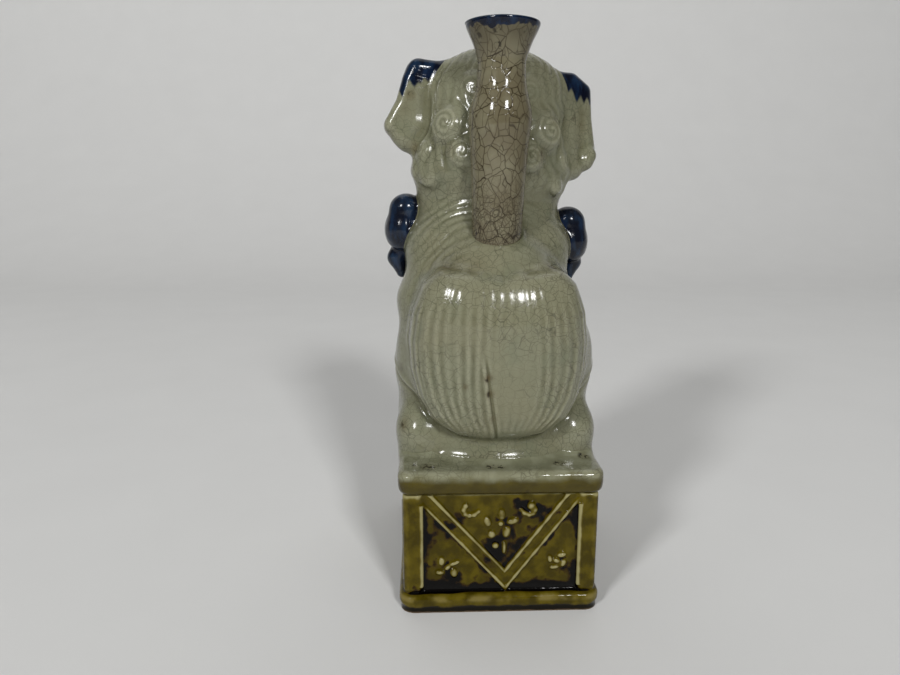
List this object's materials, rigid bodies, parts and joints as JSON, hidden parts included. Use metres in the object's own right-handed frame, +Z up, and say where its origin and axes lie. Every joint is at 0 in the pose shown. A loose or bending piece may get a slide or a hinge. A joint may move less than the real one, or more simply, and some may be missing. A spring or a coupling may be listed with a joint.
{
  "type": "foo dog statue",
  "caption": "Seated guardian lion in crackle glaze on a hollow relief plinth, with an upright tube for joss sticks behind its head.",
  "frame": {"origin": "centre of the plinth's underside", "axes": "+Z up; the lion faces -Y; its left side is +X; the tube stands at its back, towards +Y"},
  "size_m": [0.0817, 0.096, 0.202],
  "materials": {
    "celadon_glaze": "grey-green celadon glaze with fine crackle, glossy",
    "tube_glaze": "grey-brown glaze with strong dark-brown crackle, glossy",
    "cobalt_glaze": "cobalt-blue glaze with darker runs, glossy",
    "amber_glaze": "amber glaze that pools dark brown in hollows, glossy",
    "cream_glaze": "pale cream glaze with fine crackle, glossy"
  },
  "bodies": {
    "root": {"plinth_foot_frame": "amber_glaze", "plinth_back_wall": "amber_glaze", "plinth_front_wall": "amber_glaze", "plinth_left_wall": "amber_glaze", "plinth_right_wall": "amber_glaze", "plinth_corner_posts": "amber_glaze", "plinth_tabletop": "cream_glaze", "drape_bands": "cream_glaze", "flower_sprigs": "cream_glaze", "body_left_half": "celadon_glaze", "body_right_half": "celadon_glaze", "left_haunch": "celadon_glaze", "right_haunch": "celadon_glaze", "left_hind_paw": "celadon_glaze", "right_hind_paw": "celadon_glaze", "left_foreleg": "celadon_glaze", "right_foreleg": "celadon_glaze", "left_fore_paw": "celadon_glaze", "right_fore_paw": "celadon_glaze", "left_shoulder_tuft": "cobalt_glaze", "right_shoulder_tuft": "cobalt_glaze", "tail": "celadon_glaze", "joss_stick_tube": "tube_glaze", "neck_mane": "celadon_glaze", "mane_curls": "celadon_glaze", "head_shell": "celadon_glaze", "lower_jaw": "celadon_glaze", "tongue": "amber_glaze", "teeth": "cream_glaze", "nose": "cobalt_glaze", "left_eye": "cobalt_glaze", "right_eye": "cobalt_glaze", "eyebrows": "cobalt_glaze", "left_ear": "celadon_glaze", "right_ear": "celadon_glaze", "beard_curls": "cobalt_glaze", "collar": "amber_glaze", "bell": "amber_glaze", "ball": "cobalt_glaze", "ball_ribbon": "amber_glaze"}
  },
  "joints": []
}
